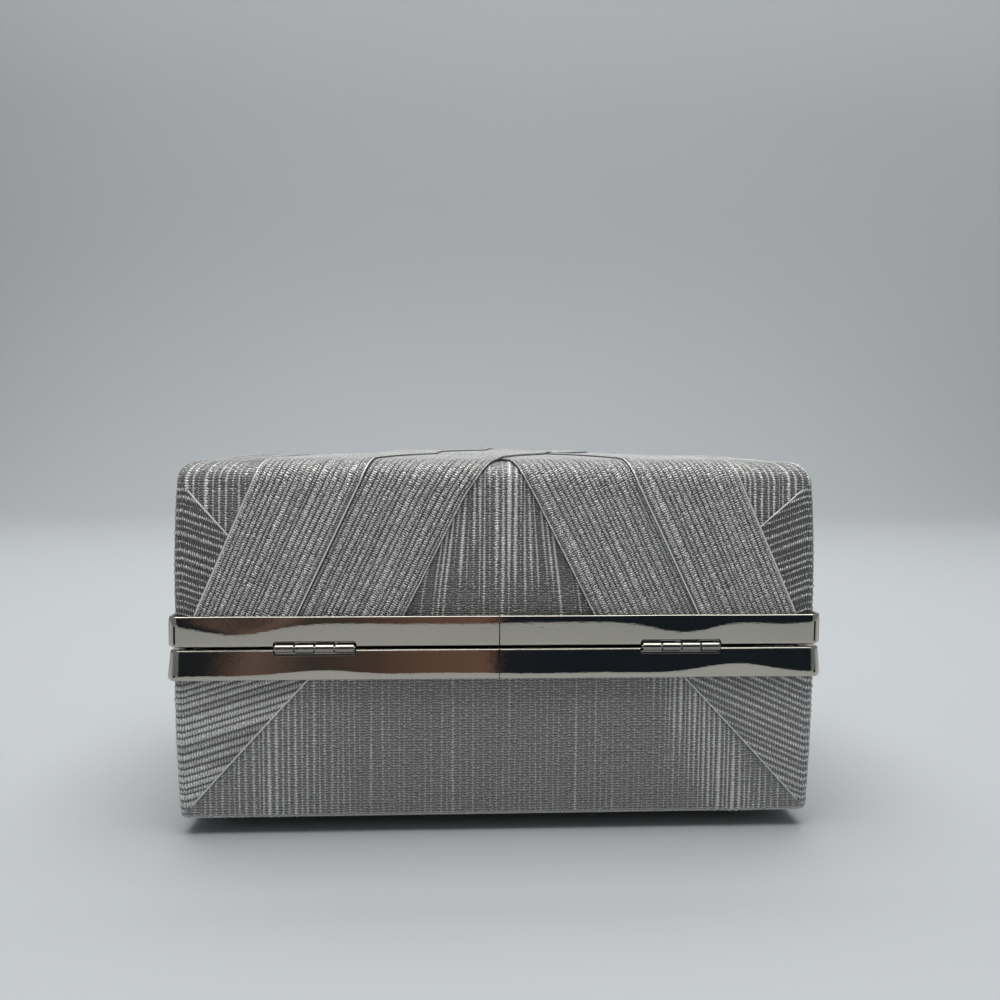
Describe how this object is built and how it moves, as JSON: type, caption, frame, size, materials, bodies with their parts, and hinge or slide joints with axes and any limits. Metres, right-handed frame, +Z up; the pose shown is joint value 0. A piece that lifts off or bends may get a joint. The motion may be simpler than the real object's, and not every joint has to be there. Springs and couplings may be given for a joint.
{
  "type": "evening clutch",
  "caption": "Hard box clutch in two hinged halves, covered in ribbed silver satin with crossed pleated bands on the lid and a polished metal frame.",
  "frame": {"origin": "middle of the padded back face that the bag lies on", "axes": "+X along the length, +Y from the hinges to the clasp, +Z up through the lid"},
  "size_m": [0.16, 0.1037, 0.0957],
  "materials": {
    "satin": "silver-grey ribbed satin",
    "pleated_satin": "silver-grey pleated satin, ribs about 1.75 mm apart",
    "nickel": "polished nickel plate"
  },
  "bodies": {
    "base": {"base_cover": "satin", "base_frame": "nickel", "hinge_left_base_leaf": "nickel", "hinge_right_base_leaf": "nickel", "hinge_left_pin": "nickel", "hinge_right_pin": "nickel"},
    "lid": {"lid_cover": "satin", "lid_frame": "nickel", "lid_band_right_inner": "pleated_satin", "lid_band_right_outer": "pleated_satin", "lid_band_left_inner": "pleated_satin", "lid_band_left_outer": "pleated_satin", "clasp": "nickel", "hinge_left_lid_leaf": "nickel", "hinge_right_lid_leaf": "nickel"}
  },
  "joints": [
    {"name": "lid_hinge", "type": "hinge", "parent": "base", "child": "lid", "pos_m": [0, -0.05, 0.0473], "axis": [1, 0, 0], "range_deg": [0, 95]}
  ]
}
